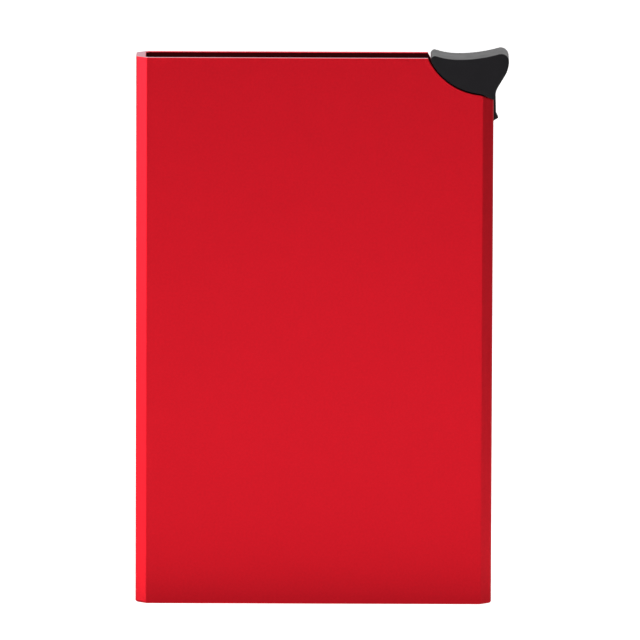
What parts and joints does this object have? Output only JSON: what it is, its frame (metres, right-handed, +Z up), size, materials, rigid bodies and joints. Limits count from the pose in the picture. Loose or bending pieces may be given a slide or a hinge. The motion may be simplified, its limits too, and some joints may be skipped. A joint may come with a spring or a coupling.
{
  "type": "pop up card holder",
  "caption": "Slim bevelled aluminium card sleeve with an open mouth and a hooked corner trigger that slides up and lifts the cards in a stepped fan.",
  "frame": {"origin": "middle of the closed lower end, on the bottom cap's outer face", "axes": "+Z up along the sleeve towards its open mouth, +X to the right, towards the trigger, -Y is the front face"},
  "size_m": [0.0713, 0.0092, 0.1071],
  "materials": {
    "red_aluminium": "fine blasted, red anodised, satin",
    "charcoal_plastic": "satin moulded",
    "black_plastic": "matt moulded",
    "grey_plastic": "matt moulded",
    "white_plastic": "smooth low-friction moulding",
    "steel": "bright",
    "spring_steel": "blank spring strip",
    "soft_rubber": "matt"
  },
  "bodies": {
    "case": {"sleeve": "red_aluminium", "bottom_cap": "black_plastic", "inner_frame": "grey_plastic", "guide_cover": "black_plastic", "detent_spring": "spring_steel", "travel_bumper": "soft_rubber", "grip_strip_front": "soft_rubber", "grip_strip_back": "soft_rubber", "cap_screw_1": "steel", "cap_screw_2": "steel", "cover_screw_1": "steel", "cover_screw_2": "steel", "cover_screw_3": "steel"},
    "slider": {"trigger": "charcoal_plastic", "slide_bar": "steel", "lifter": "white_plastic", "trigger_pin": "steel", "lifter_rivet_1": "steel", "lifter_rivet_2": "steel"}
  },
  "joints": [
    {"name": "trigger_slide", "type": "slide", "parent": "case", "child": "slider", "axis": [0, 0, 1], "range_m": [0, 0.022]}
  ]
}
